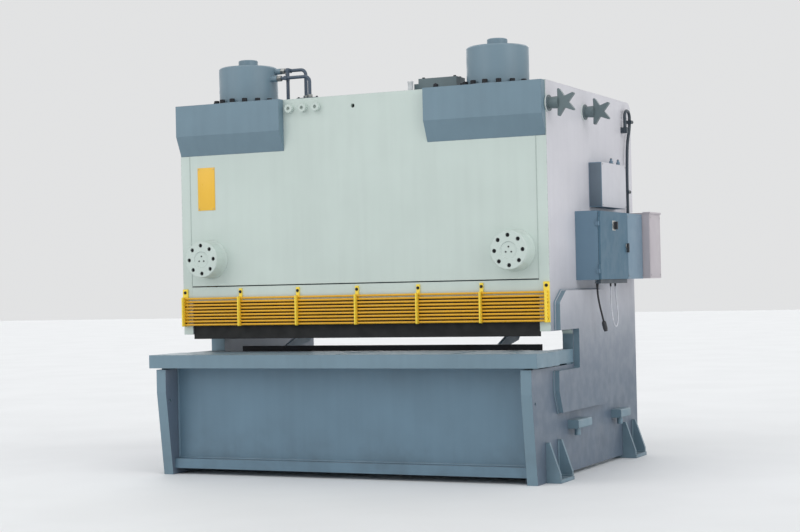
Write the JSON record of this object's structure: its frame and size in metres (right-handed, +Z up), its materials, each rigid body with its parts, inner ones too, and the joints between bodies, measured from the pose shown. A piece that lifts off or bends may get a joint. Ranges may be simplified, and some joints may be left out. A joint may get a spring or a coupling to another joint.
{
  "type": "hydraulic guillotine plate shear",
  "caption": "Floor-standing hydraulic shear for thick plate, with a raked ram blade, hold-downs, a finger guard, a deep table and a back gauge.",
  "frame": {"origin": "centre of the rectangle of the four floor anchor holes, at floor level", "axes": "+Z up, +X to the operator's right along the blades, -Y towards the operator"},
  "size_m": [3.356, 2.38, 3.15],
  "materials": {
    "pale_paint": "satin pale grey paint, blue-grey towards the floor",
    "blue_grey_paint": "satin blue-grey paint",
    "pale_green_paint": "satin pale green-grey paint",
    "yellow_paint": "gloss safety yellow paint",
    "sheet_paint": "powder-coated blue-grey sheet",
    "lilac_paint": "powder-coated pale lilac-grey sheet",
    "cast_paint": "painted grey-green casting",
    "machined_steel": "machined and oiled steel",
    "dark_steel": "blackened steel",
    "cable_sheath": "matt rubber sheath",
    "dark_plastic": "matt dark plastic"
  },
  "bodies": {
    "frame": {"side_frame_right": "pale_paint", "side_frame_left": "pale_paint", "cheek_plates": "blue_grey_paint", "bed": "blue_grey_paint", "table_slab": "blue_grey_paint", "lower_blade": "machined_steel", "ram_guides": "cast_paint", "front_beam": "pale_green_paint", "thrust_housings": "pale_green_paint", "cap_screws": "dark_steel", "cylinder_housings": "blue_grey_paint", "main_cylinders": "blue_grey_paint", "crown_plate": "blue_grey_paint", "hydraulic_pipes": "machined_steel", "hold_down_beam": "pale_green_paint", "hold_down_apron": "dark_steel", "hold_down_cartridges": "dark_steel", "guard_rails": "yellow_paint", "guard_brackets": "yellow_paint", "tie_beams": "blue_grey_paint", "oil_tank": "blue_grey_paint", "tank_lid": "blue_grey_paint", "pump_motor": "cast_paint", "bell_housing": "cast_paint", "hydraulic_pump": "cast_paint", "valve_blocks": "cast_paint", "tank_fittings": "dark_steel", "gauge_guide_bars": "machined_steel", "gauge_drive": "cast_paint", "drop_chute": "blue_grey_paint", "lifting_trunnions": "cast_paint", "anchor_feet": "blue_grey_paint", "control_cabinet": "sheet_paint", "switchgear_plate": "dark_plastic", "terminal_boxes": "sheet_paint", "power_box": "lilac_paint", "conduit": "dark_steel", "hanging_cable": "cable_sheath", "wire_loop": "cable_sheath", "cable_connector": "dark_plastic"},
    "ram": {"knife_beam": "blue_grey_paint", "upper_blade": "machined_steel", "piston_rods": "machined_steel"},
    "back_gauge": {"gauge_carriages": "blue_grey_paint", "gauge_bar": "machined_steel"},
    "lead_screw_left": {"lead_screw_left": "machined_steel"},
    "lead_screw_right": {"lead_screw_right": "machined_steel"},
    "cross_shaft": {"cross_shaft": "machined_steel"},
    "pump_coupling": {"shaft_coupling": "machined_steel"},
    "door": {"cabinet_door": "sheet_paint"},
    "latch": {"door_latch": "dark_plastic"},
    "switch": {"main_switch": "dark_plastic"},
    "hold_down_plunger_1": {"hold_down_plunger_1": "machined_steel"},
    "hold_down_plunger_2": {"hold_down_plunger_2": "machined_steel"},
    "hold_down_plunger_3": {"hold_down_plunger_3": "machined_steel"},
    "hold_down_plunger_4": {"hold_down_plunger_4": "machined_steel"},
    "hold_down_plunger_5": {"hold_down_plunger_5": "machined_steel"},
    "hold_down_plunger_6": {"hold_down_plunger_6": "machined_steel"},
    "hold_down_plunger_7": {"hold_down_plunger_7": "machined_steel"},
    "hold_down_plunger_8": {"hold_down_plunger_8": "machined_steel"}
  },
  "joints": [
    {"name": "ram_stroke", "type": "slide", "parent": "frame", "child": "ram", "axis": [0, 0, 1], "range_m": [-0.255, 0]},
    {"name": "gauge_travel", "type": "slide", "parent": "frame", "child": "back_gauge", "axis": [0, 1, 0], "range_m": [-0.13, 0.55]},
    {"name": "lead_screw_left_turn", "type": "hinge", "parent": "frame", "child": "lead_screw_left", "pos_m": [-0.9, 0.26, 1.312], "axis": [0, 1, 0], "range_deg": [-2400, 9950]},
    {"name": "lead_screw_right_turn", "type": "hinge", "parent": "frame", "child": "lead_screw_right", "pos_m": [0.9, 0.26, 1.312], "axis": [0, 1, 0], "range_deg": [-2400, 9950]},
    {"name": "cross_shaft_turn", "type": "hinge", "parent": "frame", "child": "cross_shaft", "pos_m": [0, 0.85, 1.312], "axis": [1, 0, 0], "range_deg": [-2400, 9950]},
    {"name": "pump_shaft_turn", "type": "hinge", "parent": "frame", "child": "pump_coupling", "pos_m": [0, 0.41, 2.322], "axis": [1, 0, 0], "continuous": true},
    {"name": "door_swing", "type": "hinge", "parent": "frame", "child": "door", "pos_m": [1.681, -0.289, 1.643], "axis": [0, 0, -1], "range_deg": [0, 110]},
    {"name": "latch_turn", "type": "hinge", "parent": "door", "child": "latch", "pos_m": [1.691, 0.332, 1.643], "axis": [1, 0, 0], "range_deg": [0, 90]},
    {"name": "switch_turn", "type": "hinge", "parent": "door", "child": "switch", "pos_m": [1.691, 0.04, 1.79], "axis": [1, 0, 0], "range_deg": [0, 90]},
    {"name": "hold_down_plunger_1_stroke", "type": "slide", "parent": "frame", "child": "hold_down_plunger_1", "axis": [0, 0, 1], "range_m": [-0.118, 0], "stiffness_N_per_m": 3000, "springref_m": 0.06},
    {"name": "hold_down_plunger_2_stroke", "type": "slide", "parent": "frame", "child": "hold_down_plunger_2", "axis": [0, 0, 1], "range_m": [-0.118, 0], "stiffness_N_per_m": 3000, "springref_m": 0.06},
    {"name": "hold_down_plunger_3_stroke", "type": "slide", "parent": "frame", "child": "hold_down_plunger_3", "axis": [0, 0, 1], "range_m": [-0.118, 0], "stiffness_N_per_m": 3000, "springref_m": 0.06},
    {"name": "hold_down_plunger_4_stroke", "type": "slide", "parent": "frame", "child": "hold_down_plunger_4", "axis": [0, 0, 1], "range_m": [-0.118, 0], "stiffness_N_per_m": 3000, "springref_m": 0.06},
    {"name": "hold_down_plunger_5_stroke", "type": "slide", "parent": "frame", "child": "hold_down_plunger_5", "axis": [0, 0, 1], "range_m": [-0.118, 0], "stiffness_N_per_m": 3000, "springref_m": 0.06},
    {"name": "hold_down_plunger_6_stroke", "type": "slide", "parent": "frame", "child": "hold_down_plunger_6", "axis": [0, 0, 1], "range_m": [-0.118, 0], "stiffness_N_per_m": 3000, "springref_m": 0.06},
    {"name": "hold_down_plunger_7_stroke", "type": "slide", "parent": "frame", "child": "hold_down_plunger_7", "axis": [0, 0, 1], "range_m": [-0.118, 0], "stiffness_N_per_m": 3000, "springref_m": 0.06},
    {"name": "hold_down_plunger_8_stroke", "type": "slide", "parent": "frame", "child": "hold_down_plunger_8", "axis": [0, 0, 1], "range_m": [-0.118, 0], "stiffness_N_per_m": 3000, "springref_m": 0.06}
  ],
  "couplings": [
    {"joint": "lead_screw_left_turn", "follows": "gauge_travel", "rad_per_m": 314.16},
    {"joint": "lead_screw_right_turn", "follows": "gauge_travel", "rad_per_m": 314.16},
    {"joint": "cross_shaft_turn", "follows": "gauge_travel", "rad_per_m": 314.16},
    {"joint": "hold_down_plunger_2_stroke", "follows": "hold_down_plunger_1_stroke", "ratio": 1},
    {"joint": "hold_down_plunger_3_stroke", "follows": "hold_down_plunger_1_stroke", "ratio": 1},
    {"joint": "hold_down_plunger_4_stroke", "follows": "hold_down_plunger_1_stroke", "ratio": 1},
    {"joint": "hold_down_plunger_5_stroke", "follows": "hold_down_plunger_1_stroke", "ratio": 1},
    {"joint": "hold_down_plunger_6_stroke", "follows": "hold_down_plunger_1_stroke", "ratio": 1},
    {"joint": "hold_down_plunger_7_stroke", "follows": "hold_down_plunger_1_stroke", "ratio": 1},
    {"joint": "hold_down_plunger_8_stroke", "follows": "hold_down_plunger_1_stroke", "ratio": 1}
  ]
}
